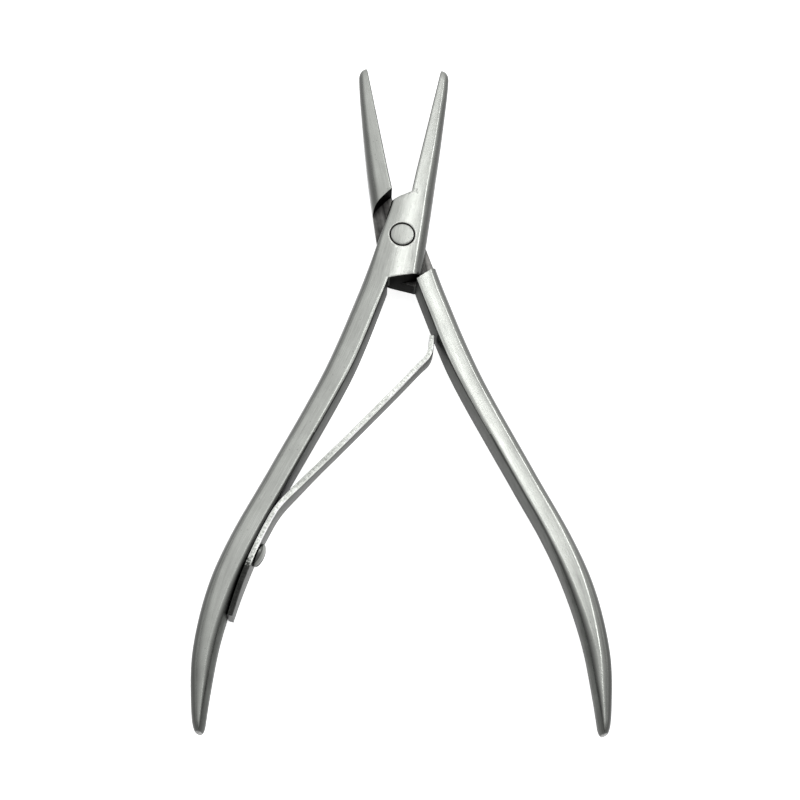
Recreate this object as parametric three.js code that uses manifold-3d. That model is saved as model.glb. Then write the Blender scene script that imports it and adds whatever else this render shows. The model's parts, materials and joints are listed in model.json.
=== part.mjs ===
// Small spring-return lap-joint pliers: two forged steel halves that cross at a flush rivet,
// and a leaf spring screwed to the left handle that pushes the right handle away.
// Millimetres. The origin is on the rivet's axis at the joint's bottom flat, +Z is up and the
// jaws point to +Y. The part stands open, as its spring leaves it.
import * as THREE from "three";
import { mergeVertices } from "three/addons/utils/BufferGeometryUtils.js";
import Module from "manifold-3d";

const wasm = await Module();
wasm.setup();

// ---- Driving dimensions -------------------------------------------------------------------
const JOINT_THICK = 8.5; // both halves together at the joint
const OPEN_ANGLE = 22; // degrees between the halves at rest
const LAP_GAP = 0.2; // between the two half-thickness plates
const JAW_ROOT_Y = 11; // the jaws start to thin here
const JAW_TIP_Y = 41.5;
const JAW_TIP_THICK = 3;
const JAW_GAP = 0.1; // between the jaws when closed
const JAW_LEAN = 0.5; // the jaws meet on a plane that leans this much at the tip
const HANDLE_END_Y = -108.6;
const HANDLE_THICK = { joint: 8.4, middle: 7.9, end: 6.2 };
const RIVET = { head: 2.38, waist: 1.9, flare: 0.9, land: 0.7, dome: 0.12, ringGap: 0.22, fit: 0.08 };
const SPRING = { thick: 1.1, armWidth: 4.5, legWidth: 6.4, footWidth: 5.2, standOff: 0.08 };
const SPRING_FOOT_Y = -85.6;
const SPRING_BEND_Y = -62;
const SCREW_Y = -71.85;
const SCREW = { head: 2.45, height: 1.3, shank: 1.3, depth: 3.4, slot: 0.6, gap: 0.2 };

const MID = JOINT_THICK / 2;

// Plan outlines of one half, drawn with the jaws closed: handle on the left, jaw on the right.
const line = (...points) => new THREE.SplineCurve(points.map(([x, y]) => new THREE.Vector2(x, y)));
const HANDLE_OUTER = line(
  [-3.3, 14], [-3.65, 7.5], [-4.4, 0], [-6.1, -11.3], [-9.95, -32], [-16.25, -54.2],
  [-20.8, -69.5], [-22.9, -81], [-22.85, -93.5], [-20.7, -104], [-18.8, -109.6],
);
const HANDLE_INNER = line(
  [-1.0, -10.4], [-2.85, -23.3], [-5.3, -34.6], [-11.85, -56.8], [-15.0, -67.5], [-17.05, -78],
  [-18.05, -90], [-17.7, -101], [-17.0, -109.6],
);
const JAW_OUTER = line([5.75, -14], [5.45, -6.5], [5.0, 3.6], [4.1, 18.7], [2.8, 34], [2.1, 40]);

// Where the plate of one half ends, and where the pocket for the other half's plate begins.
const PLATE_TOP = line([0.1, 10.2], [-1.28, 9.21], [-2.62, 8.22], [-5.2, 5.6]);
const PLATE_LOW = line([-0.95, -10.32], [0.8, -9.5], [2.6, -8.75], [7, -6.85]);
const SHOULDER_TOP = line([-2.5, 12.3], [0.46, 10.62], [3.1, 8.85], [4.56, 7.36], [5.4, 5.2], [8, -3]);
const SHOULDER_LOW = line([1.2, -11.4], [-4.53, -8.66], [-10, -6.05]);

// ---- Helpers --------------------------------------------------------------------------------
const lerp = THREE.MathUtils.lerp;
const clamp = THREE.MathUtils.clamp;
const rad = THREE.MathUtils.degToRad;

// x of an outline at height y; every outline runs one way in y.
function xAt(curve, y) {
  const falls = curve.getPoint(0).y > curve.getPoint(1).y;
  let low = 0;
  let high = 1;
  for (let i = 0; i < 40; i++) {
    const mid = (low + high) / 2;
    if (curve.getPoint(mid).y > y === falls) low = mid;
    else high = mid;
  }
  return curve.getPoint(low).x;
}

// A three.js geometry as a solid, turned to face out.
function solid(geometry) {
  const bare = geometry.clone().deleteAttribute("normal").deleteAttribute("uv");
  const merged = mergeVertices(bare, 1e-5);
  const make = (triVerts) =>
    new wasm.Manifold(
      new wasm.Mesh({ numProp: 3, vertProperties: merged.attributes.position.array, triVerts }),
    );
  const triangles = new Uint32Array(merged.index.array);
  const body = make(triangles);
  return body.volume() > 0 ? body : make(triangles.reverse());
}

// A closed skin over rings of equal point count.
function loft(rings) {
  const n = rings[0].length;
  const points = rings.flat();
  const index = [];
  for (let r = 0; r + 1 < rings.length; r++)
    for (let i = 0; i < n; i++) {
      const [a, b] = [r * n + i, r * n + ((i + 1) % n)];
      index.push(a, b, b + n, a, b + n, a + n);
    }
  const last = (rings.length - 1) * n;
  for (let i = 1; i + 1 < n; i++) index.push(0, i + 1, i, last, last + i, last + i + 1);
  return solid(new THREE.BufferGeometry().setFromPoints(points).setIndex(index));
}

// Vertical prism over a plan outline.
function prism(points, z0, z1) {
  const shape = new THREE.Shape(points);
  return solid(
    new THREE.ExtrudeGeometry(shape, { depth: z1 - z0, bevelEnabled: false }).translate(0, 0, z0),
  );
}

// Turned solid about the Z axis.
function turned(profile, segments = 40) {
  const points = profile.map(([r, z]) => new THREE.Vector2(r, z));
  return solid(new THREE.LatheGeometry(points, segments).rotateX(Math.PI / 2));
}

// One cross-section at height y: flat top and bottom, the outer side rounded like a D, the inner
// side a wall with small edge rounds. A round is [its width in x, its height in z].
function section(y, outer, inner, thick, outerRound, innerRound) {
  const side = Math.sign(outer - inner);
  const width = Math.abs(outer - inner);
  const half = thick / 2;
  const ring = [];
  const corner = (x, along, up, round, from, steps) => {
    const rx = Math.min(round[0], width * 0.48);
    const rz = Math.min(round[1], half * 0.92);
    for (let i = 0; i <= steps; i++) {
      const a = rad(from + (90 * i) / steps);
      ring.push(new THREE.Vector3(
        x - along * rx + along * rx * Math.abs(Math.cos(a)), y,
        MID + up * (half - rz + rz * Math.abs(Math.sin(a))),
      ));
    }
  };
  corner(outer, side, 1, outerRound, 0, 5);
  corner(inner, -side, 1, innerRound, 90, 2);
  corner(inner, -side, -1, innerRound, 180, 2);
  corner(outer, side, -1, outerRound, 270, 5);
  return ring;
}

// How much of its size a rounded end keeps at distance d inside the end of a nose of length r.
const nose = (d, r) => (d >= r ? 1 : Math.sqrt(Math.max(0.04, 1 - ((r - d) / r) ** 2)));

// ---- One half, jaws closed --------------------------------------------------------------------
function handleBody() {
  const stations = [JAW_ROOT_Y, 6, 1, -3, -7, -10, -10.2];
  for (let y = -11; y > -104; y -= 4.7) stations.push(y);
  for (const d of [4, 1.8, 1.1, 0.5, 0.15, 0]) stations.push(HANDLE_END_Y + d);
  return loft(
    stations.map((y) => {
      const atJoint = y > -10.1;
      const k = lerp(0.62, 1, nose(y - HANDLE_END_Y, 1.8));
      const toGrip = clamp((1 - y) / 15, 0, 1);
      const inside = clamp((-y - 10) / 10, 0, 1);
      const toEnd = clamp((-y - 62) / 34, 0, 1);
      const outer = xAt(HANDLE_OUTER, y);
      const inner = atJoint ? 1.2 : xAt(HANDLE_INNER, y);
      const centre = (outer + inner) / 2;
      const t = y > -55
        ? lerp(HANDLE_THICK.joint, HANDLE_THICK.middle, clamp((-y - 10) / 45, 0, 1))
        : lerp(HANDLE_THICK.middle, HANDLE_THICK.end, ((-y - 55) / 54) ** 1.6);
      return section(
        y, lerp(centre, outer, k), lerp(centre, inner, k), atJoint ? JOINT_THICK : t * k,
        [lerp(0.7, lerp(1.7, 2.4, toEnd), toGrip), lerp(0.8, lerp(3.3, 2.9, toEnd), toGrip)],
        [lerp(0.1, lerp(0.55, 1.9, toEnd), inside), lerp(0.1, lerp(0.7, 2.1, toEnd), inside)],
      );
    }),
  );
}

function jawBody(lean) {
  const stations = [-12, -4, 4, JAW_ROOT_Y];
  for (let y = 15; y < 38; y += 4) stations.push(y);
  for (const d of [2.2, 1.2, 0.6, 0.2, 0]) stations.push(JAW_TIP_Y - d);
  return loft(
    stations.map((y) => {
      const toTip = clamp((y - JAW_ROOT_Y) / (JAW_TIP_Y - JAW_ROOT_Y), 0, 1);
      const shift = JAW_GAP / 2 + (lean * Math.max(0, y - 15)) / (JAW_TIP_Y - 15);
      const k = nose(JAW_TIP_Y - y, 2);
      const width = xAt(JAW_OUTER, y) - JAW_GAP / 2;
      return section(
        y, shift + width * lerp(0.35, 1, k), shift,
        lerp(JOINT_THICK, JAW_TIP_THICK, toTip) * lerp(0.55, 1, k),
        [lerp(2, 1.15, toTip), lerp(2.8, 1.5, toTip)],
        y > JAW_ROOT_Y ? [0.25, 0.25] : [0.02, 0.02],
      );
    }),
  );
}

// The rivet as [radius, z]: a waisted pin with flush heads, or the bore it sits in. The bore
// leaves the thin dark ring round each head and a running fit at the waist.
function rivetProfile(isBore) {
  const { head, waist, flare, land, dome, ringGap, fit } = RIVET;
  const [wide, narrow] = isBore ? [head + ringGap, waist + fit] : [head, waist];
  const [low, high] = isBore ? [-1, JOINT_THICK + 1] : [0, JOINT_THICK];
  const top = isBore ? [] : [[head / 2, high + dome * 0.75]];
  return [
    [0, low], [wide, low], [wide, land], [narrow, land + flare],
    [narrow, JOINT_THICK - land - flare], [wide, JOINT_THICK - land],
    [wide, high], ...top, [0, isBore ? high : high + dome],
  ];
}

function half(lean) {
  const v = (x, y) => new THREE.Vector2(x, y);
  const [z0, z1] = [-1, JOINT_THICK + 1];
  const aboveLeft = [...PLATE_TOP.getPoints(8), v(-20, 5.6), v(-20, 30), v(0.1, 30)];
  const belowRight = [...PLATE_LOW.getPoints(8), v(20, -6.85), v(20, -30), v(-0.95, -30)];
  const pocket = [
    ...SHOULDER_TOP.getPoints(14), v(8, -14), v(1.2, -14), ...SHOULDER_LOW.getPoints(4), v(-10, 12.3),
  ];
  return handleBody()
    .subtract(prism(aboveLeft, z0, z1))
    .add(jawBody(lean))
    .subtract(prism(belowRight, z0, z1))
    .subtract(prism(pocket, z0, MID + LAP_GAP / 2))
    .subtract(turned(rivetProfile(true)));
}

// ---- Leaf spring and its screw, jaws-closed frame of the left half ------------------------------
// Point and direction on the left handle's inner wall at height y.
function wallAt(y) {
  const [x, above] = [xAt(HANDLE_INNER, y), xAt(HANDLE_INNER, y + 0.5)];
  const along = new THREE.Vector2(above - x, 0.5).normalize();
  return { at: new THREE.Vector2(x, y), along, out: new THREE.Vector2(along.y, -along.x) };
}

// The strip's centre line: flat on the handle, bent away, straight, then curled at the tip.
const LEG = [SPRING_FOOT_Y, -80, -73, -67].map((y) => {
  const { at, out } = wallAt(y);
  return at.addScaledVector(out, SPRING.standOff + SPRING.thick / 2);
});
const ARM = [
  [-12.75, -62.4], [-9.5, -56.8], [-2.15, -45.05], [5.55, -32.55], [8.85, -27.0], [10.15, -24.9],
  [10.45, -23.2], [10.15, -20.2],
];
const SPRING_LINE = new THREE.CatmullRomCurve3(
  [...LEG, ...ARM.map(([x, y]) => new THREE.Vector2(x, y))].map((p) => new THREE.Vector3(p.x, p.y, 0)),
  false, "centripetal",
);
SPRING_LINE.arcLengthDivisions = 400;

// Share of the spring line's length at which it reaches height y.
function springShare(y) {
  let [low, high] = [0, 1];
  for (let i = 0; i < 30; i++) {
    const mid = (low + high) / 2;
    if (SPRING_LINE.getPointAt(mid).y < y) low = mid;
    else high = mid;
  }
  return low;
}

// The strip is widest round its screw and narrows to the foot's end and, past the bend, to the arm.
function springWidth(u) {
  if (u < 0.1) return lerp(SPRING.footWidth, SPRING.legWidth, u / 0.1);
  return lerp(SPRING.legWidth, SPRING.armWidth, THREE.MathUtils.smoothstep(u, 0.3, 0.52));
}

function strip(from, to, steps) {
  const rings = [];
  for (let i = 0; i <= steps; i++) {
    const u = lerp(from, to, i / steps);
    const at = SPRING_LINE.getPointAt(u);
    const along = SPRING_LINE.getTangentAt(u);
    const wide = springWidth(u) / 2;
    const [t, edge] = [SPRING.thick / 2, 0.2];
    const corners = [
      [t, wide - edge], [t - edge, wide], [edge - t, wide], [-t, wide - edge],
      [-t, edge - wide], [edge - t, -wide], [t - edge, -wide], [t, edge - wide],
    ];
    rings.push(corners.map(([out, up]) =>
      new THREE.Vector3(at.x + along.y * out, at.y - along.x * out, MID + up)));
  }
  return loft(rings);
}

// Turns a solid drawn about Z so that its axis runs out of the handle's wall at the screw.
function onWall(geometry) {
  const { at, out } = wallAt(SCREW_Y);
  return geometry.rotateY(Math.PI / 2).rotateZ(Math.atan2(out.y, out.x)).translate(at.x, at.y, MID);
}

function boreInWall(radius, from, to) {
  const bore = new THREE.CylinderGeometry(radius, radius, to - from, 24);
  return solid(onWall(bore.rotateX(Math.PI / 2).translate(0, 0, (from + to) / 2)));
}

function screwBody() {
  const seat = SPRING.standOff + SPRING.thick + 0.1;
  const { head, height, shank, depth, slot } = SCREW;
  const profile = [[0, -depth + 0.5], [shank * 0.6, -depth + 0.5], [shank, -depth + 1], [shank, seat]];
  profile.push([head, seat], [head, seat + 0.35]);
  for (let i = 1; i <= 5; i++) {
    const a = (i * Math.PI) / 10;
    profile.push([head * Math.cos(a), seat + 0.35 + (height - 0.35) * Math.sin(a)]);
  }
  profile[profile.length - 1][0] = 0;
  const points = profile.map(([r, z]) => new THREE.Vector2(r, z));
  const body = solid(onWall(new THREE.LatheGeometry(points, 28).rotateX(Math.PI / 2)));
  const cut = new THREE.BoxGeometry(slot, 3 * head, 1).translate(0, 0, seat + height + 0.5 - 0.6);
  return body.subtract(solid(onWall(cut)));
}

// ---- Assembly -----------------------------------------------------------------------------------
const steel = { color: 0xb4b6b4, roughness: 0.38, metalness: 1 };
const springSteel = { color: 0x9c9e9c, roughness: 0.42, metalness: 1 };
const group = new THREE.Group();

// Adds a solid as a named mesh, turned from the jaws-closed frame to rest about the rivet.
function place(name, body, look, turn, flip = false) {
  const made = body.getMesh();
  const geometry = new THREE.BufferGeometry();
  geometry.setAttribute("position", new THREE.BufferAttribute(made.vertProperties, 3));
  geometry.setIndex(new THREE.BufferAttribute(made.triVerts, 1));
  if (flip) geometry.rotateY(Math.PI).translate(0, 0, JOINT_THICK);
  geometry.rotateZ(rad(turn)).computeVertexNormals();
  const mesh = new THREE.Mesh(geometry, new THREE.MeshStandardMaterial(look));
  mesh.name = name;
  group.add(mesh);
}

const turn = OPEN_ANGLE / 2;
const share = springShare(SPRING_BEND_Y);
const split = 0.15 / SPRING_LINE.getLength();
const screwHole = SCREW.shank + SCREW.gap;

place("front_half", half(JAW_LEAN).subtract(boreInWall(screwHole, -SCREW.depth, 2)), steel, -turn);
place("back_half", half(-JAW_LEAN), steel, turn, true);
place("pivot_rivet", turned(rivetProfile(false)), steel, -turn);
place("spring_leg", strip(0, share - split, 12).subtract(boreInWall(screwHole, -1, 3)), springSteel, -turn);
place("spring_arm", strip(share + split, 1, 20), springSteel, -turn);
place("spring_screw", screwBody(), steel, -turn);

export default group;
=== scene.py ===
import json
import math

import bmesh
import bpy
from mathutils import Matrix, Vector


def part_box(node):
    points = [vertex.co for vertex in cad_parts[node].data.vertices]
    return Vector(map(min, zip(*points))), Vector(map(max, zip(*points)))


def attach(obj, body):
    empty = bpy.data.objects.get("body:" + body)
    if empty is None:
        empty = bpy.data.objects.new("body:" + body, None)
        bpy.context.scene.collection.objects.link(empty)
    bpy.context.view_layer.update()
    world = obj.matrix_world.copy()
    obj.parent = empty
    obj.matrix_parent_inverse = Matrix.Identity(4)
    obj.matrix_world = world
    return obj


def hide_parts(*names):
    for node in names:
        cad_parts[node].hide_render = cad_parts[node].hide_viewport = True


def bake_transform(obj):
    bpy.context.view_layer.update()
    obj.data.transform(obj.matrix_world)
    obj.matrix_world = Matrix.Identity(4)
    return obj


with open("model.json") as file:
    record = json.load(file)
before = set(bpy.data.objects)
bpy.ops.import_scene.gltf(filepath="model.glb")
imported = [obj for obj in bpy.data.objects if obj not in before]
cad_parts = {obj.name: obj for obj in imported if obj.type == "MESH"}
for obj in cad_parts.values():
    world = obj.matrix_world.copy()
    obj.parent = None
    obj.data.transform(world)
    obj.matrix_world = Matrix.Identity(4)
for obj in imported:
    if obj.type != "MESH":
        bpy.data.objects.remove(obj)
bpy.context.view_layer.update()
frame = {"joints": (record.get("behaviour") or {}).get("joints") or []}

MM = 0.001
SQUARE = ((-1, -1), (1, -1), (1, 1), (-1, 1))

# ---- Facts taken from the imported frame, in millimetres ------------------------------------------
low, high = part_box("front_half")
THICK = (high.z - low.z) / MM  # of the joint
MID = THICK / 2
close = next(j for j in frame["joints"] if j["name"] == "handle_close")
HALF_OPEN = math.radians(close["range_deg"][1] / 2)

# ---- Driving dimensions in millimetres, drawn with the jaws closed and the rivet at x = y = 0 --------
LAP_GAP = 0.2
JAW_ROOT_Y, JAW_TIP_Y, JAW_TIP_THICK = 11.0, 41.5, 3.0
JAW_GAP = 0.1
JAW_LEAN, LEAN_Y = 0.5, 15  # the closed jaws lean to +x, from LEAN_Y up to the tip
JOINT_END_Y, MIDDLE_Y, THIN_Y, HANDLE_END_Y = -10, -55, -109, -108.6
THICK_MIDDLE, THICK_END, THINNING = 7.9, 6.2, 1.6  # THINNING is the exponent from middle to end
FALL = 0.095  # how far a face falls at its outer edge, as a share of its width
HIGHLIGHT_Y = (-9, -46)  # the stretch of handle whose inner corners carry a painted highlight

HEAD_R, NECK_R, BORE_HEAD_R, BORE_NECK_R = 2.38, 1.9, 2.6, 1.98
HEAD_DEEP, NECK_DEEP = 0.7, 1.6  # where the rivet's straight head and its countersink end
HEAD_CHAMFER, RIVET_DOME = 0.08, 0.11
RIVET_EDGE = ((-0.12, 0), (-0.04, 0.04), (0.01, 0.12))  # (height from the top, how much narrower)

FOOT_Y, SCREW_Y = -85.6, -71.85
LEG_YS = (FOOT_Y, -80, -73, -67)
SPRING_THICK, ARM_WIDTH, LEG_WIDTH, FOOT_WIDTH, STAND_OFF = 1.1, 4.5, 6.4, 5.2, 0.08
SPRING_ROUND = 0.19
SPRING_HOLE_R = 1.5

SHANK_R, SHANK_DEEP, SHANK_CHAMFER, SEAT_GAP = 1.3, 2.9, 0.5, 0.1
SCREW_HEAD_R, SCREW_HEAD_CHAMFER, SCREW_HEAD_WALL, SCREW_DOME = 2.45, 0.1, 0.3, 1.0
SLOT_WIDTH, SLOT_REACH, SLOT_FLOOR = 0.6, 4.0, 0.7  # its cutter reaches past the head's rim


# ---- Curves --------------------------------------------------------------------------------------
def catmull(p0, p1, p2, p3, t):
    v0, v1 = (p2 - p0) / 2, (p3 - p1) / 2
    return (2 * p1 - 2 * p2 + v0 + v1) * t**3 + (-3 * p1 + 3 * p2 - 2 * v0 - v1) * t**2 + v0 * t + p1


HALVINGS = 36


class Line:
    """A smooth plan outline through a few points."""

    def __init__(self, *points):
        self.points = [Vector(p) for p in points]

    def at(self, t):
        p, last = self.points, len(self.points) - 1
        i = min(int(t * last), last - 1)
        return catmull(p[max(i - 1, 0)], p[i], p[i + 1], p[min(i + 2, last)], t * last - i)

    def sample(self, steps):
        return [self.at(i / steps) for i in range(steps + 1)]

    def x_at(self, y):
        """The outline's x at a height y, found by halving, since y only rises or only falls along it."""
        falls = self.points[0].y > self.points[1].y
        lo, hi = 0.0, 1.0
        for _ in range(HALVINGS):
            mid = (lo + hi) / 2
            if (self.at(mid).y > y) == falls:
                lo = mid
            else:
                hi = mid
        return self.at(lo).x


HANDLE_OUTER = Line(
    (-3.3, 14), (-3.65, 7.5), (-4.4, 0), (-6.1, -11.3), (-9.95, -32), (-16.25, -54.2),
    (-20.8, -69.5), (-22.9, -81), (-22.85, -93.5), (-20.7, -104), (-18.8, -109.6))
HANDLE_INNER = Line(
    (-1.0, -10.4), (-2.85, -23.3), (-5.3, -34.6), (-11.85, -56.8), (-15.0, -67.5), (-17.05, -78),
    (-18.05, -90), (-17.7, -101), (-17.0, -109.6))
JAW_OUTER = Line((5.75, -14), (5.45, -6.5), (5.0, 3.6), (4.1, 18.7), (2.8, 34), (2.1, 40))
PLATE_TOP = Line((0.1, 10.2), (-1.28, 9.21), (-2.62, 8.22), (-5.2, 5.6))
PLATE_LOW = Line((-0.95, -10.32), (0.8, -9.5), (2.6, -8.75), (7, -6.85))
SHOULDER_TOP = Line((-2.5, 12.3), (0.46, 10.62), (3.1, 8.85), (4.56, 7.36), (5.4, 5.2), (8, -3))
SHOULDER_LOW = Line((1.2, -11.4), (-4.53, -8.66), (-10, -6.05))


def mix(a, b, t):
    return a + (b - a) * t


def mix_pair(a, b, t):
    """The mix of two roundings."""
    return mix(a[0], b[0], t), mix(a[1], b[1], t)


def clamp(t):
    return max(0.0, min(1.0, t))


def between(y, start, end):
    """How far y has come from start to end, 0 to 1."""
    return clamp((y - start) / (end - start))


def ease(t):
    t = clamp(t)
    return t * t * (3 - 2 * t)


def stations(start, stop, step):
    """Even places from start that stop short of stop."""
    places = []
    while (start - stop) * step < 0:
        places.append(start)
        start += step
    return places


# ---- Materials ------------------------------------------------------------------------------------
class Nodes:
    """Small helper that wires the nodes of a material or a world."""

    def __init__(self, owner):
        owner.use_nodes = True
        self.tree = owner.node_tree
        shader = "Background" if isinstance(owner, bpy.types.World) else "Principled BSDF"
        self.shader = self.tree.nodes[shader]

    def add(self, kind, inputs=None, **props):
        node = self.tree.nodes.new(kind)
        for k, v in props.items():
            setattr(node, k, v)
        for k, v in (inputs or {}).items():
            self.put(node.inputs[k], v)
        return node

    def put(self, socket, v):
        if isinstance(v, bpy.types.NodeSocket):
            self.tree.links.new(v, socket)
        elif isinstance(v, bpy.types.Node):
            self.tree.links.new(v.outputs[0], socket)
        else:
            socket.default_value = v

    def noise(self, vector, scale, detail, rough):
        inputs = {"Vector": vector, "Scale": scale, "Detail": detail, "Roughness": rough}
        return self.add("ShaderNodeTexNoise", inputs)

    def ramp(self, value, *stops):
        """A grey ramp through (place, brightness) stops."""
        node = self.add("ShaderNodeValToRGB", {"Fac": value})
        elements = node.color_ramp.elements
        while len(elements) < len(stops):
            elements.new(0.5)
        for element, (place_on_ramp, grey) in zip(elements, stops):
            element.position = place_on_ramp
            element.color = (grey, grey, grey, 1)
        return node

    def math(self, op, a, b):
        return self.add("ShaderNodeMath", {0: a, 1: b}, operation=op)

    def range(self, value, a, b, c, d, **props):
        inputs = {"Value": value, "From Min": a, "From Max": b, "To Min": c, "To Max": d}
        return self.add("ShaderNodeMapRange", inputs, **props)


NOISE_SPAN, SPOT_SPAN = (0.3, 0.7), (0.35, 0.65)  # where most of the noise values fall
SPOT_SCALE, PATCH_SCALE, PIT_SCALE = 420.0, 95.0, 700.0  # per metre
PIT_EDGE = (0.05, 0.14)  # distances from a pit's centre, as shares of its cell
FLANK_SHADE_Z = (0.6, 0.97)  # the upward part of the normal where a flank's painted shade is full, and where the top begins with its whole tone
GRAIN_ROUGH, PATCH_ROUGH = 0.07, 0.04
CORNER_REACH, EDGE_ROUND = 4 * MM, 0.12 * MM
BUMP_STRENGTH, BUMP_DEPTH, BUMP_SPOTS = 0.2, 0.02 * MM, 0.4


def steel(name, tone, rough, streak=0.12, blotch=0.1, grain=(0.16, 5.0), tint=(0.972, 1, 0.945), pits=0.0,
          flank=1.0, corner_shade=0.0, fade_along=(), edge_on=1.0):
    """Brushed steel on the grain UV map, whose units are millimetres along and across the piece.
    tone and rough are its mean brightness and roughness. streak, blotch and pits are how much the grain,
    the patches and the pits change the tone. flank is how far the tone falls on the upright sides beside
    the top, a painted shade by the normal's slope, and grime darkens the corners with painted shade.
    dull is (from mm, to mm, share): the tone and the grazing reflection fall to that share between two places
    along the piece. edge_on scales the reflection at grazing angles."""
    mat = bpy.data.materials.new(name)
    n = Nodes(mat)
    uv = n.add("ShaderNodeUVMap", uv_map="grain")
    where = n.add("ShaderNodeTexCoord").outputs["Object"]
    long_map = n.add("ShaderNodeMapping", {"Vector": uv, "Scale": (*grain, 1)})
    wide_map = n.add("ShaderNodeMapping", {"Vector": uv, "Scale": (grain[0] * 0.5, grain[1] * 0.22, 1)})
    fine = n.noise(long_map, 1.0, 5.0, 0.62)
    wide = n.noise(wide_map, 1.0, 3.0, 0.5)
    spots = n.noise(where, SPOT_SCALE, 3.0, 0.6)
    patch = n.noise(where, PATCH_SCALE, 2.0, 0.5)

    def vary(noise, amount, span=NOISE_SPAN):
        return n.range(noise, *span, 1 - amount, 1 + amount)

    streaked = n.math("MULTIPLY", vary(fine, streak), vary(wide, streak * 0.7))
    blotched = n.math("MULTIPLY", vary(patch, blotch), vary(spots, blotch * 0.5, SPOT_SPAN))
    shade = n.math("MULTIPLY", streaked, blotched)
    if pits:
        cells = n.add("ShaderNodeTexVoronoi", {"Vector": where, "Scale": PIT_SCALE})
        pitted = n.ramp(cells.outputs["Distance"], (PIT_EDGE[0], 1 - pits), (PIT_EDGE[1], 1.0))
        shade = n.math("MULTIPLY", shade, pitted)
    # painted shade: upright flanks are darkened by the slope of their normal
    if flank < 1:
        upright = n.add("ShaderNodeSeparateXYZ", {"Vector": n.add("ShaderNodeNewGeometry").outputs["Normal"]})
        painted_flank_shade = n.range(upright.outputs["Z"], *FLANK_SHADE_Z, flank, 1.0, interpolation_type="SMOOTHSTEP")
        shade = n.math("MULTIPLY", shade, painted_flank_shade)
    # the tone and the grazing reflection fall along the piece, as set by dull
    fade = 1.0
    if fade_along:
        along = n.add("ShaderNodeSeparateXYZ", {"Vector": uv})
        fade = n.range(along.outputs["X"], fade_along[0], fade_along[1], 1.0, fade_along[2])
    shade = n.math("MULTIPLY", shade, fade)
    n.put(n.shader.inputs["Specular Tint"], n.math("MULTIPLY", edge_on, fade))
    # painted shade: ambient occlusion darkens the tone in corners and hollows
    if corner_shade:
        open_sky = n.add("ShaderNodeAmbientOcclusion", {"Distance": CORNER_REACH}, samples=8)
        shade = n.math("MULTIPLY", shade, n.math("POWER", open_sky.outputs["AO"], corner_shade))
    full = tuple(tone * c for c in tint)
    colour = n.add("ShaderNodeVectorMath", {0: full, "Scale": shade}, operation="SCALE")
    n.put(n.shader.inputs["Base Color"], colour)
    n.put(n.shader.inputs["Metallic"], 1.0)
    grain_rough = n.range(fine, *NOISE_SPAN, rough - GRAIN_ROUGH, rough + GRAIN_ROUGH)
    patch_rough = n.range(patch, *NOISE_SPAN, -PATCH_ROUGH, PATCH_ROUGH)
    n.put(n.shader.inputs["Roughness"], n.math("ADD", grain_rough, patch_rough))
    height = n.math("ADD", fine, n.math("MULTIPLY", spots, BUMP_SPOTS))
    relief = {"Height": height, "Strength": BUMP_STRENGTH, "Distance": BUMP_DEPTH,
              "Normal": n.add("ShaderNodeBevel", {"Radius": EDGE_ROUND}, samples=4)}
    n.put(n.shader.inputs["Normal"], n.add("ShaderNodeBump", relief))
    return mat


# Satin steel; flank darkens its roundings and flanks with painted shade, and its tone falls toward the
# handle's end.
TOP = steel("satin_steel", 0.41, 0.23, streak=0.09, blotch=0.07, pits=0.25, flank=0.18,
            fade_along=(-74, -100, 0.77), edge_on=0.84)
# Inner walls: a very low tone, painted shade for walls that lie in shade beside and under the tool, with
# grime adding painted shade in the corners; the tone also falls toward the joint.
SHADED_WALL = steel("inner_wall_painted_shade_steel", 0.09, 0.42, streak=0.16, blotch=0.2, grain=(0.5, 2.2),
             tint=(0.96, 1.0, 0.94), corner_shade=1.2, fade_along=(HIGHLIGHT_Y[1], -18, 0.78), edge_on=0.71)
# Lap and bore: flank darkens the upright walls almost to black and grime darkens the corners, both painted
# shade.
DARK = steel("joint_steel", 0.33, 0.5, streak=0.7, blotch=0.6, grain=(1.2, 3.0),
             tint=(1.0, 0.99, 0.95), flank=0.03, corner_shade=1.5, edge_on=0.55)
# A painted highlight: a near-white tone on the handles' inner top corners, fading along the handle.
HIGHLIGHT_STEEL = steel("painted_highlight_corner_steel", 0.78, 0.34, streak=0.15, blotch=0.2, grain=(0.8, 2.0),
            fade_along=(-26, HIGHLIGHT_Y[1], 0.45))
RIVET = steel("rivet_steel", 0.42, 0.3, streak=0.12, blotch=0.08, grain=(3.2, 0.25))
FACE = steel("spring_face_steel", 0.06, 0.4, streak=0.12, blotch=0.2, grain=(0.25, 4.0), edge_on=0.9)
# grime darkens the screw's corners with painted shade.
SCREW = steel("screw_steel", 0.2, 0.18, streak=0.1, blotch=0.3, grain=(1.2, 1.2), corner_shade=1.5)

BLACK_END, BLACK_SHARE = (10.6, 11.9), 0.06  # where the black fades, in mm from the foot's end
BORDER_SCALE, BORDER_RAGGED = 1.6, 1.6


def foot_blackened(mat):
    """Turns the spring's foot black, with a ragged border at the screw's head."""
    n = Nodes(mat)
    uv = n.add("ShaderNodeUVMap", uv_map="grain")
    along = n.add("ShaderNodeSeparateXYZ", {"Vector": uv})
    border_map = n.add("ShaderNodeMapping", {"Vector": uv, "Scale": (BORDER_SCALE, BORDER_SCALE, 1)})
    ragged = n.range(n.noise(border_map, 1.0, 4.0, 0.6), *NOISE_SPAN, -BORDER_RAGGED, BORDER_RAGGED)
    lit = n.range(n.math("ADD", along.outputs["X"], ragged), *BLACK_END, BLACK_SHARE, 1.0)
    steel_colour = n.shader.inputs["Base Color"].links[0].from_socket
    mixed = n.add("ShaderNodeVectorMath", {0: steel_colour, "Scale": lit}, operation="SCALE")
    n.put(n.shader.inputs["Base Color"], mixed)
    return mat


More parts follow.
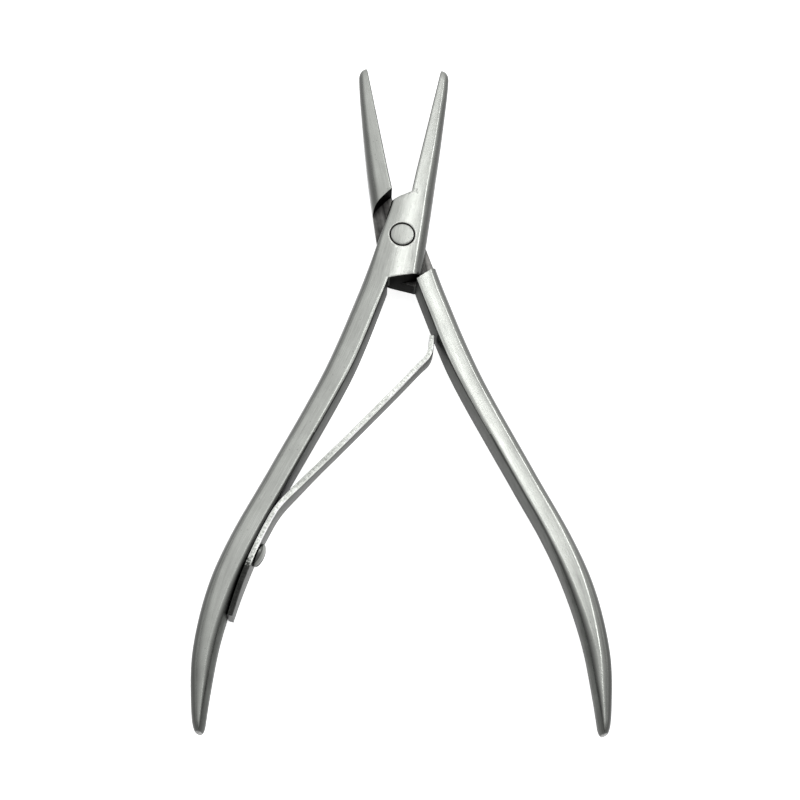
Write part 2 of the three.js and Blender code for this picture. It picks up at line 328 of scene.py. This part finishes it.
EDGE = foot_blackened(steel("spring_edge_steel", 0.56, 0.36, streak=0.6, blotch=0.3, grain=(5.0, 6.0)))
# A painted highlight: the spring's rounded corners take a white tone, turned black at the foot.
SPRING_HIGHLIGHT = foot_blackened(steel("spring_corner_painted_highlight_steel", 1.0, 0.42, streak=0.1, blotch=0.15, grain=(0.8, 2.0)))


# ---- Mesh helpers --------------------------------------------------------------------------------
def mesh_from(name, finish, points, faces, face_slots, uvs):
    """A mesh object in millimetres; finish lists its materials, and uvs holds millimetres per corner."""
    me = bpy.data.meshes.new(name)
    me.from_pydata([tuple(p) for p in points], [], faces)
    for material in finish:
        me.materials.append(material)
    layer = me.uv_layers.new(name="grain")
    for poly, corner_uvs in zip(me.polygons, uvs):
        for li, uv in zip(poly.loop_indices, corner_uvs):
            layer.data[li].uv = uv
    me.polygons.foreach_set("material_index", face_slots)
    me.validate()
    me.update()
    ob = bpy.data.objects.new(name, me)
    bpy.context.scene.collection.objects.link(ob)
    return ob


def face_out(ob):
    """Points every face of a closed mesh outward."""
    bm = bmesh.new()
    bm.from_mesh(ob.data)
    bmesh.ops.recalc_face_normals(bm, faces=bm.faces)
    if bm.calc_volume(signed=True) < 0:
        bmesh.ops.reverse_faces(bm, faces=bm.faces)
    bm.to_mesh(ob.data)
    bm.free()
    return ob


def loft(name, finish, rings, slot_of, along, cap_slot=0):
    """A closed skin over rings of equal point count; slot_of(i, y) gives the material of side i at y.
    along holds each ring's place for the grain UV map."""
    n = len(rings[0])
    points = [p for ring in rings for p in ring]
    faces, slots, uvs = [], [], []
    around = [0.0]
    middle = rings[len(rings) // 2]
    for i in range(n):
        around.append(around[-1] + (middle[(i + 1) % n] - middle[i]).length)
    for r in range(len(rings) - 1):
        s0, s1 = along[r], along[r + 1]
        for i in range(n):
            j = (i + 1) % n
            faces.append((r * n + i, r * n + j, (r + 1) * n + j, (r + 1) * n + i))
            slots.append(slot_of(i, rings[r][i].y))
            a, b = around[i], around[i + 1]
            uvs.append([(s0, a), (s0, b), (s1, b), (s1, a)])
    last = (len(rings) - 1) * n
    for cap in (list(range(n)), [last + i for i in range(n)]):
        faces.append(tuple(cap))
        slots.append(cap_slot)
        uvs.append([(points[k].x, points[k].z) for k in cap])
    return face_out(mesh_from(name, finish, points, faces, slots, uvs))


def prism(finish, slot, outline, levels):
    """A vertical cutter over a plan outline; levels are (z, how far the outline grows there)."""
    n = len(outline)
    area = sum(outline[i - 1].cross(outline[i]) for i in range(n))
    side = 1 if area > 0 else -1
    rings = []
    for z, grow in levels:
        ring = []
        for i in range(n):
            a, b, c = outline[i - 1], outline[i], outline[(i + 1) % n]
            d = ((b - a).normalized() + (c - b).normalized()).normalized()
            ring.append(Vector((b.x + side * d.y * grow, b.y - side * d.x * grow, z)))
        rings.append(ring)
    return loft("cutter", finish, rings, lambda i, y: slot, range(len(rings)), slot)


def turned(name, finish, profile, segments, slot=0):
    """A solid turned about Z from [radius, z] points, closed on the axis at both ends."""
    points, faces = [], []
    inner = [p for p in profile if p[0] > 0]
    for r, z in inner:
        for k in range(segments):
            a = 2 * math.pi * k / segments
            points.append(Vector((r * math.cos(a), r * math.sin(a), z)))
    for i in range(len(inner) - 1):
        for k in range(segments):
            j = (k + 1) % segments
            faces.append((i * segments + k, i * segments + j, (i + 1) * segments + j, (i + 1) * segments + k))
    for row, z in ((0, profile[0][1]), (len(inner) - 1, profile[-1][1])):
        centre = len(points)
        points.append(Vector((0, 0, z)))
        for k in range(segments):
            faces.append((row * segments + k, row * segments + (k + 1) % segments, centre))
    uvs = [[(points[v].x, points[v].y) for v in f] for f in faces]
    return face_out(mesh_from(name, finish, points, faces, [slot] * len(faces), uvs))


def dome(radius, foot, rise, steps):
    """The profile of a low dome, from just inside its rim up to the axis."""
    angles = [math.pi / 2 * k / steps for k in range(1, steps)]
    return [(radius * math.cos(a), foot + rise * math.sin(a)) for a in angles] + [(0, foot + rise)]


def apply_all(ob):
    dg = bpy.context.evaluated_depsgraph_get()
    me = bpy.data.meshes.new_from_object(ob.evaluated_get(dg), depsgraph=dg)
    ob.modifiers.clear()
    ob.data = me
    return ob


def boolean(ob, tool, operation):
    bpy.context.view_layer.update()
    m = ob.modifiers.new("b", "BOOLEAN")
    m.operation, m.object, m.solver = operation, tool, "EXACT"
    apply_all(ob)
    bpy.data.objects.remove(tool)
    return ob


# ---- The halves, drawn with the jaws closed, in millimetres ---------------------------------------
# WALL faces take painted shade and HIGHLIGHT_SLOT faces a painted highlight.
HALF = (TOP, SHADED_WALL, DARK, HIGHLIGHT_STEEL)
TOP_SIDE, WALL, JOINT, HIGHLIGHT_SLOT = range(4)
OUT_STEPS, IN_STEPS, TOP_STEPS = 16, 6, 8
WALL_STEPS, CORNER_STEPS = 3, 5  # sides next to the middle of the inner wall
OUT_POWER, IN_POWER = 2 / 1.8, 1.4  # exponents of the outer and the inner rounding
OUT_SHARE, IN_SHARE, DEEP_SHARE = 0.6, 0.38, 0.94  # the most they take of the width and half thickness

# Roundings are (across, down).
JOINT_FLANK, HANDLE_FLANK, END_FLANK = (0.7, 0.8), (1.8, 3.4), (2.5, 2.9)
JOINT_CORNER, HANDLE_CORNER, END_CORNER = (0.06, 0.06), (0.5, 0.6), (1.8, 2.1)
JAW_FLANK, TIP_FLANK = (1.75, 2.8), (1.15, 1.5)
JAW_CORNER, JAW_ROOT_CORNER = (0.25, 0.25), (0.02, 0.02)
GRIP_FLANK_Y, INSIDE_Y, END_Y = (1, -14), (-10, -20), (-62, -96)  # where one passes into the next
JOINT_INNER_X = 1.2  # how far the handle's body reaches into the plate

# Rounded ends: radius, share left at the very end, and where the rings stand, from the end.
HANDLE_NOSE, HANDLE_NOSE_SHARE = 1.8, 0.6
HANDLE_END_RINGS = (3.2, 2.4, 1.8, 1.4, 1.0, 0.65, 0.4, 0.2, 0.07, 0)
JAW_NOSE, JAW_NOSE_WIDTH, JAW_NOSE_THICK = 2, 0.35, 0.55
JAW_TIP_RINGS = (2.2, 1.7, 1.3, 1.0, 0.7, 0.45, 0.25, 0.1, 0.03, 0)
NOSE_LEFT = 0.02  # keeps the last ring from closing to a line

CREST_JOINT_X, CREST_JAW_X, CREST_PAST_WALL = -1.5, -0.5, 0.3
CREST_JAW_Y, CREST_HANDLE_Y = (6, 15), (-9, -17)  # where the crest moves to the jaw and the handle
INNER_FROM_Y, JAW_FROM_Y, OUTER_FROM_Y = -10.5, -13.9, 13.9  # just inside the outlines' first points
LEAST_WIDTH = 2.0  # a narrower face falls as if it were this wide
CROWN_CUTS = ((0, 7.0, 0.5), (1, 13.0, 1.0))  # axis, reach on each side, step
CUT_OFFSET, CUT_MERGE = 0.013, 0.002  # keeps the cuts off the outlines' own corners
FLAT_Z, CUT_AREA = 0.98, 0.6  # only faces as flat and as large as this are cut

FAR_X, FAR_Y = 20, 30  # beyond every outline
POCKET_LOW_Y = -14
# Soft edges as (height from the top, how far the cut is wider there).
PLATE_EDGE = ((-0.13, 0), (-0.08, 0.02), (-0.03, 0.06), (0, 0.13))
BORE_EDGE = ((-0.1, 0), (-0.03, 0.06), (0, 0.16), (1, 0.3))


def section(y, outer, inner, thick, flank, in_round):
    """One cross-section: a flat top, an outer flank that bulges like a D, and an inner wall."""
    side = 1 if outer > inner else -1
    width, rise = abs(outer - inner), thick / 2
    fx, fz = min(flank[0], width * OUT_SHARE), min(flank[1], rise * DEEP_SHARE)
    irx, irz = min(in_round[0], width * IN_SHARE), min(in_round[1], rise * DEEP_SHARE)
    upper = []
    for i in range(OUT_STEPS + 1):
        a = math.pi / 2 * i / OUT_STEPS
        across, up = math.cos(a) ** OUT_POWER, math.sin(a) ** OUT_POWER
        upper.append((outer - side * fx * (1 - across), rise - fz * (1 - up)))
    x0, x1 = outer - side * fx, inner + side * irx
    upper += [(mix(x0, x1, i / TOP_STEPS), rise) for i in range(1, TOP_STEPS)]
    for i in range(IN_STEPS + 1):
        a = math.pi / 2 * i / IN_STEPS
        across, up = math.sin(a) ** IN_POWER, math.cos(a) ** IN_POWER
        upper.append((inner + side * irx * (1 - across), rise - irz * (1 - up)))
    full = [Vector((x, y, MID + z)) for x, z in upper]
    return full + [Vector((x, y, MID - z)) for x, z in reversed(upper)]


def ring_slot(i, y):
    """The material of side i of a section: inner wall with painted shade, corner with a painted highlight, or
    satin steel.
    """
    from_wall = abs(i - OUT_STEPS - TOP_STEPS - IN_STEPS)
    if from_wall <= WALL_STEPS:
        return WALL
    highlighted = from_wall <= CORNER_STEPS and HIGHLIGHT_Y[1] < y < HIGHLIGHT_Y[0]
    return HIGHLIGHT_SLOT if highlighted else TOP_SIDE


def nose(d, r):
    """The share of full size at a distance d from a round end of radius r."""
    return 1.0 if d >= r else math.sqrt(max(NOSE_LEFT, 1 - ((r - d) / r) ** 2))


def handle_body():
    """The handle from the jaw's root to its end, not yet cut back to the plate."""
    ys = [JAW_ROOT_Y - 0.9 * i for i in range(23)] + [JOINT_END_Y - d for d in (0, 0.2, 0.4)]
    ys += stations(JOINT_END_Y - 1, HANDLE_END_Y + 4, -1.1)
    ys += [HANDLE_END_Y + d for d in HANDLE_END_RINGS]
    rings = []
    for y in ys:
        at_joint = y > JOINT_END_Y - 0.1
        k = mix(HANDLE_NOSE_SHARE, 1, nose(y - HANDLE_END_Y, HANDLE_NOSE))
        end = ease(between(y, *END_Y))
        outer = HANDLE_OUTER.x_at(y)
        inner = JOINT_INNER_X if at_joint else HANDLE_INNER.x_at(y)
        centre = (outer + inner) / 2
        if at_joint:
            thick = THICK
        elif y > MIDDLE_Y:
            thick = mix(THICK, THICK_MIDDLE, between(y, JOINT_END_Y, MIDDLE_Y))
        else:
            thick = mix(THICK_MIDDLE, THICK_END, between(y, MIDDLE_Y, THIN_Y) ** THINNING)
        flank = mix_pair(JOINT_FLANK, mix_pair(HANDLE_FLANK, END_FLANK, end), ease(between(y, *GRIP_FLANK_Y)))
        corner = mix_pair(JOINT_CORNER, mix_pair(HANDLE_CORNER, END_CORNER, end), ease(between(y, *INSIDE_Y)))
        rings.append(section(y, mix(centre, outer, k), mix(centre, inner, k), thick * k, flank, corner))
    return loft("handle", HALF, rings, ring_slot, ys)


def jaw_body(lean):
    """The jaw with the outer part of the plate below it."""
    ys = [-12 + 1.15 * i for i in range(20)] + [JAW_ROOT_Y + 0.3]
    ys += stations(JAW_ROOT_Y + 1, JAW_TIP_Y - 2.4, 1.0)
    ys += [JAW_TIP_Y - d for d in JAW_TIP_RINGS]
    ys.sort()
    rings = []
    for y in ys:
        tip = between(y, JAW_ROOT_Y, JAW_TIP_Y)
        shift = JAW_GAP / 2 + lean * max(0, y - LEAN_Y) / (JAW_TIP_Y - LEAN_Y)
        k = nose(JAW_TIP_Y - y, JAW_NOSE)
        width = (JAW_OUTER.x_at(y) - JAW_GAP / 2) * mix(JAW_NOSE_WIDTH, 1, k)
        thick = mix(THICK, JAW_TIP_THICK, tip) * mix(JAW_NOSE_THICK, 1, k)
        corner = JAW_CORNER if y > JAW_ROOT_Y else JAW_ROOT_CORNER
        rings.append(section(y, shift + width, shift, thick, mix_pair(JAW_FLANK, TIP_FLANK, tip), corner))
    return loft("jaw", HALF, rings, ring_slot, ys)


def crown(ob):
    """Rounds the flat faces: from a crest they fall away toward the outer edges, steeper and steeper."""
    bm = bmesh.new()
    bm.from_mesh(ob.data)
    for axis, reach, step in CROWN_CUTS:
        for at in stations(-reach, reach, step):
            co, no = [0, 0, 0], [0, 0, 0]
            co[axis], no[axis] = at + CUT_OFFSET, 1
            wide = [f for f in bm.faces if abs(f.normal.z) > FLAT_Z and f.calc_area() > CUT_AREA]
            geom = wide + list({e for f in wide for e in f.edges}) + list({v for f in wide for v in f.verts})
            bmesh.ops.bisect_plane(bm, geom=geom, dist=CUT_MERGE, plane_co=co, plane_no=no)
    for v in bm.verts:
        x, y, z = v.co
        crest = mix(CREST_JOINT_X, CREST_JAW_X, ease(between(y, *CREST_JAW_Y)))
        wall = HANDLE_INNER.x_at(min(y, INNER_FROM_Y))
        crest = mix(crest, wall - CREST_PAST_WALL, ease(between(y, *CREST_HANDLE_Y)))
        if x > crest:
            wide = max(JAW_OUTER.x_at(max(y, JAW_FROM_Y)) - crest, LEAST_WIDTH)
        else:
            wide = max(crest - HANDLE_OUTER.x_at(min(y, OUTER_FROM_Y)), LEAST_WIDTH)
        v.co.z = MID + (z - MID) * (1 - FALL * (x - crest) ** 2 / wide / MID)
    bm.to_mesh(ob.data)
    bm.free()
    return ob


def beyond_plate(edge, side):
    """The region past a plate's edge: above and left of it for side 1, below and right for -1."""
    start, end = edge.points[0], edge.points[-1]
    corners = (-side * FAR_X, end.y), (-side * FAR_X, side * FAR_Y), (start.x, side * FAR_Y)
    return edge.sample(24) + [Vector(corner) for corner in corners]


def lap_pocket():
    """The region where the other half's plate turns."""
    top, low = SHOULDER_TOP.points, SHOULDER_LOW.points
    right = [Vector((top[-1].x, POCKET_LOW_Y)), Vector((low[0].x, POCKET_LOW_Y))]
    left = [Vector((low[-1].x, top[0].y))]
    return SHOULDER_TOP.sample(36) + right + SHOULDER_LOW.sample(10) + left


def half(name, lean):
    """One forging: handle, joint plate and jaw."""
    soft_top = [(-1, 0), *((THICK + z, wider) for z, wider in PLATE_EDGE), (THICK + 1, PLATE_EDGE[-1][1])]
    ob = handle_body()
    boolean(ob, prism(HALF, JOINT, beyond_plate(PLATE_TOP, 1), soft_top), "DIFFERENCE")
    boolean(ob, jaw_body(lean), "UNION")
    boolean(ob, prism(HALF, JOINT, beyond_plate(PLATE_LOW, -1), soft_top), "DIFFERENCE")
    boolean(ob, prism(HALF, JOINT, lap_pocket(), [(-1, 0), (MID + LAP_GAP / 2, 0)]), "DIFFERENCE")
    bore = [(0, -1), (BORE_HEAD_R, -1), (BORE_HEAD_R, HEAD_DEEP), (BORE_NECK_R, NECK_DEEP),
            (BORE_NECK_R, THICK - NECK_DEEP), (BORE_HEAD_R, THICK - HEAD_DEEP)]
    bore += [(BORE_HEAD_R + wider, THICK + z) for z, wider in BORE_EDGE] + [(0, THICK + BORE_EDGE[-1][0])]
    boolean(ob, turned("bore", HALF, bore, 96, JOINT), "DIFFERENCE")
    ob.name = ob.data.name = name
    return crown(ob)


def place(ob, turn, flip=False):
    """From the jaws-closed drawing in millimetres to its rest place in metres."""
    m = Matrix.Rotation(turn, 4, "Z")
    if flip:
        m = m @ Matrix.Translation((0, 0, THICK)) @ Matrix.Rotation(math.pi, 4, "Y")
    ob.data.transform(Matrix.Scale(MM, 4) @ m)
    ob.data.update()
    return ob


def smooth(ob, degrees=32):
    ob.data.shade_smooth()
    ob.data.set_sharp_from_angle(angle=math.radians(degrees))
    return ob


# ---- Leaf spring ----------------------------------------------------------------------------------
def wall_at(y):
    """A point on the handle's inner wall, and the direction square out of it."""
    x, above = HANDLE_INNER.x_at(y), HANDLE_INNER.x_at(y + 0.5)
    along = Vector((above - x, 0.5)).normalized()
    return Vector((x, y)), Vector((along.y, -along.x))


def centripetal(points, steps):
    """Evenly spaced points on a centripetal Catmull-Rom curve, and the curve's length."""
    ends = [2 * points[0] - points[1], *points, 2 * points[-1] - points[-2]]
    dense = []
    for i in range(1, len(ends) - 2):
        p = ends[i - 1:i + 3]
        t = [0.0]
        for a, b in zip(p, p[1:]):
            t.append(t[-1] + max((b - a).length, 1e-6) ** 0.5)
        for s in range(24):
            u = mix(t[1], t[2], s / 24)
            a1 = p[0] * ((t[1] - u) / (t[1] - t[0])) + p[1] * ((u - t[0]) / (t[1] - t[0]))
            a2 = p[1] * ((t[2] - u) / (t[2] - t[1])) + p[2] * ((u - t[1]) / (t[2] - t[1]))
            a3 = p[2] * ((t[3] - u) / (t[3] - t[2])) + p[3] * ((u - t[2]) / (t[3] - t[2]))
            b1 = a1 * ((t[2] - u) / (t[2] - t[0])) + a2 * ((u - t[0]) / (t[2] - t[0]))
            b2 = a2 * ((t[3] - u) / (t[3] - t[1])) + a3 * ((u - t[1]) / (t[3] - t[1]))
            dense.append(b1 * ((t[2] - u) / (t[2] - t[1])) + b2 * ((u - t[1]) / (t[2] - t[1])))
    dense.append(points[-1])
    lengths = [0.0]
    for a, b in zip(dense, dense[1:]):
        lengths.append(lengths[-1] + (b - a).length)
    out, k = [], 0
    for i in range(steps + 1):
        want = lengths[-1] * i / steps
        while k < len(dense) - 2 and lengths[k + 1] < want:
            k += 1
        share = (want - lengths[k]) / max(lengths[k + 1] - lengths[k], 1e-9)
        out.append(dense[k].lerp(dense[k + 1], share))
    return out, lengths[-1]


LEAF = (FACE, EDGE, SPRING_HIGHLIGHT)
LEAF_FACE, LEAF_EDGE, LEAF_HIGHLIGHT = range(3)
LEG = []
for leg_y in LEG_YS:
    at, out = wall_at(leg_y)
    LEG.append(at + out * (STAND_OFF + SPRING_THICK / 2))
ARM = [(-12.75, -62.4), (-9.5, -56.8), (-2.15, -45.05), (5.55, -32.55), (8.85, -27.0), (10.15, -24.9),
       (10.45, -23.2), (10.15, -20.2)]
FOOT_SHARE, TAPER = 0.1, (0.3, 0.52)  # shares of the strip where its foot widens and its leg narrows
ROUND_STEPS, SPRING_STEPS = 4, 170


def strip_width(u):
    """The strip's width at a share u of its length from the foot."""
    if u < FOOT_SHARE:
        return mix(FOOT_WIDTH, LEG_WIDTH, u / FOOT_SHARE)
    return mix(LEG_WIDTH, ARM_WIDTH, ease(between(u, *TAPER)))


def strip_section(width):
    """A rectangle with rounded corners, as (across the thickness, across the width)."""
    reach, rise = SPRING_THICK / 2 - SPRING_ROUND, width / 2 - SPRING_ROUND
    angles = [math.pi / 2 * k / ROUND_STEPS for k in range(ROUND_STEPS + 1)]
    corners = []
    for sx, sz in ((1, 1), (-1, 1), (-1, -1), (1, -1)):
        arc = [(sx * (reach + SPRING_ROUND * math.cos(a)), sz * (rise + SPRING_ROUND * math.sin(a)))
               for a in angles]
        corners += arc if sx * sz > 0 else arc[::-1]
    return corners


def strip_slot(i, y):
    """Between its four rounded corners, which carry a painted highlight, a section has two edges and two
    faces.
    """
    corner, place_in_corner = divmod(i, ROUND_STEPS + 1)
    if place_in_corner < ROUND_STEPS:
        return LEAF_HIGHLIGHT
    return LEAF_FACE if corner % 2 else LEAF_EDGE


def leaf_spring(name):
    line, length = centripetal(LEG + [Vector(p) for p in ARM], SPRING_STEPS)
    rings, along = [], []
    for i, at in enumerate(line):
        d = (line[min(i + 1, SPRING_STEPS)] - line[max(i - 1, 0)]).normalized()
        u = i / SPRING_STEPS
        corners = strip_section(strip_width(u))
        rings.append([Vector((at.x + d.y * o, at.y - d.x * o, MID + z)) for o, z in corners])
        along.append(length * u)
    return loft(name, LEAF, rings, strip_slot, along, LEAF_EDGE)


# ---- Pieces ---------------------------------------------------------------------------------------
front = smooth(place(half("front_half_steel", JAW_LEAN), -HALF_OPEN))
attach(front, "front")
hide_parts("front_half")

back = smooth(place(half("back_half_steel", -JAW_LEAN), HALF_OPEN, flip=True))
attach(back, "back")
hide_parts("back_half")

rivet_profile = [(0, 0), (HEAD_R - HEAD_CHAMFER, 0), (HEAD_R, HEAD_CHAMFER), (HEAD_R, HEAD_DEEP),
                 (NECK_R, NECK_DEEP), (NECK_R, THICK - NECK_DEEP), (HEAD_R, THICK - HEAD_DEEP)]
rivet_profile += [(HEAD_R - narrower, THICK + z) for z, narrower in RIVET_EDGE]
rivet_profile += dome(*rivet_profile[-1], RIVET_DOME, 7)
rivet = smooth(place(turned("pivot_rivet_steel", [RIVET], rivet_profile, 96), -HALF_OPEN))
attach(rivet, "front")
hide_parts("pivot_rivet")


def on_wall(ob):
    """From standing on the origin to standing square on the inner wall at the screw."""
    at, out = wall_at(SCREW_Y)
    turn = Matrix.Rotation(math.atan2(out.y, out.x), 4, "Z") @ Matrix.Rotation(math.pi / 2, 4, "Y")
    ob.data.transform(Matrix.Translation((at.x, at.y, MID)) @ turn)
    return ob


seat = STAND_OFF + SPRING_THICK + SEAT_GAP
screw_profile = [
    (0, -SHANK_DEEP), (SHANK_R - SHANK_CHAMFER, -SHANK_DEEP), (SHANK_R, SHANK_CHAMFER - SHANK_DEEP),
    (SHANK_R, seat), (SCREW_HEAD_R - SCREW_HEAD_CHAMFER, seat), (SCREW_HEAD_R, seat + SCREW_HEAD_CHAMFER),
    (SCREW_HEAD_R, seat + SCREW_HEAD_WALL)]
screw_profile += dome(*screw_profile[-1], SCREW_DOME, 10)
screw = turned("spring_screw_steel", [SCREW], screw_profile, 64)
slot_outline = [Vector((x * SLOT_WIDTH / 2, y * SLOT_REACH)) for x, y in SQUARE]
slot_cutter = prism([SCREW], 0, slot_outline, [(seat + SLOT_FLOOR, 0), (seat + 2 * SCREW_DOME, 0)])
boolean(screw, slot_cutter, "DIFFERENCE")
smooth(place(on_wall(screw), -HALF_OPEN))
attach(screw, "front")
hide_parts("spring_screw")

spring = leaf_spring("leaf_spring_steel")
hole = turned("hole", LEAF, [(0, -1), (SPRING_HOLE_R, -1), (SPRING_HOLE_R, 3), (0, 3)], 48, LEAF_EDGE)
boolean(spring, on_wall(hole), "DIFFERENCE")
smooth(place(spring, -HALF_OPEN))
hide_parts("spring_leg", "spring_arm")
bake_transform(spring)

# ---- Floor and light ------------------------------------------------------------------------------
FLOOR_REACH, FLOOR_Z = 6, -0.0003
PAPER_GREY, PAPER_GLOW = 0.9, 0.8
SKY_BRIGHTEST = (0.10, 0.42, 0.90)
SKY_STOPS = ((0.0, 0.7), (0.5, 0.8), (0.85, 0.98), (1.0, 1.12))  # (cosine from the brightest, brightness)
SKY_NEAR_Y, SKY_NEAR_STRENGTH = (-0.15, 0.25), 0.72
ALONG, LIT = Vector((0, 1, 0)), Vector((0, -0.02, 0))  # the object's length, and where the lights aim


def pale_floor():
    """A white sheet that glows a little, so that the picture's ground is even."""
    me = bpy.data.meshes.new("floor")
    me.from_pydata([(FLOOR_REACH * x, FLOOR_REACH * y, FLOOR_Z) for x, y in SQUARE], [], [(0, 1, 2, 3)])
    paper = bpy.data.materials.new("pale_paper")
    n = Nodes(paper)
    n.put(n.shader.inputs["Base Color"], (PAPER_GREY, PAPER_GREY, PAPER_GREY, 1))
    n.put(n.shader.inputs["Roughness"], 0.9)
    n.put(n.shader.inputs["Specular IOR Level"], 0.0)
    n.put(n.shader.inputs["Emission Color"], (1, 1, 1, 1))
    n.put(n.shader.inputs["Emission Strength"], PAPER_GLOW)
    me.materials.append(paper)
    ob = bpy.data.objects.new("floor", me)
    bpy.context.scene.collection.objects.link(ob)
    return ob


def studio_sky():
    """A soft dome of light, brightest high on the far side and dimmer on the near side."""
    world = bpy.data.worlds.new("studio")
    bpy.context.scene.world = world
    n = Nodes(world)
    direction = n.add("ShaderNodeTexCoord").outputs["Generated"]
    brightest = {0: direction, 1: Vector(SKY_BRIGHTEST).normalized()}
    toward = n.add("ShaderNodeVectorMath", brightest, operation="DOT_PRODUCT")
    n.put(n.shader.inputs["Color"], n.ramp(toward.outputs["Value"], *SKY_STOPS))
    split = n.add("ShaderNodeSeparateXYZ", {"Vector": direction})
    near = n.range(split.outputs["Y"], *SKY_NEAR_Y, SKY_NEAR_STRENGTH, 1.0, interpolation_type="SMOOTHSTEP")
    n.put(n.shader.inputs["Strength"], near)


def stand(ob, at, x, z):
    """Links an object to the scene at a point, with its own X and Z axes along x and z."""
    ob.matrix_world = Matrix.Translation(at) @ Matrix((x, z.cross(x), z)).transposed().to_4x4()
    bpy.context.scene.collection.objects.link(ob)


def softbox(name, toward, distance, size, watts):
    """An area light in a direction from the object, its second size along the object."""
    z = Vector(toward).normalized()
    data = bpy.data.lights.new(name, "AREA")
    data.shape, data.energy = "RECTANGLE", watts
    data.size, data.size_y = size
    stand(bpy.data.objects.new(name, data), LIT + z * distance, ALONG.cross(z).normalized(), z)


floor = pale_floor()
studio_sky()
softbox("key", toward=(0.155, 0.41, 0.90), distance=0.92, size=(0.085, 0.5), watts=0.40)
softbox("side", toward=(0.53, 0.38, 0.75), distance=0.94, size=(0.10, 0.5), watts=1.0)

# ---- Camera ---------------------------------------------------------------------------------------
AIM = Vector((-0.475, -36.736, 8.5)) * MM
BACK = Vector((-0.02618, -0.35825, 0.93326)).normalized()  # from the aim to the camera
DISTANCE, LENS, SENSOR = 0.4, 90, 36
cam_data = bpy.data.cameras.new("camera")
cam_data.sensor_width, cam_data.lens = SENSOR, LENS
cam_data.clip_start, cam_data.clip_end = 0.01, 50
camera = bpy.data.objects.new("camera", cam_data)
stand(camera, AIM + BACK * DISTANCE, ALONG.cross(BACK).normalized(), BACK)
bpy.context.scene.camera = camera
bpy.context.scene.view_settings.view_transform = "Standard"
bpy.context.scene.view_settings.look = "None"
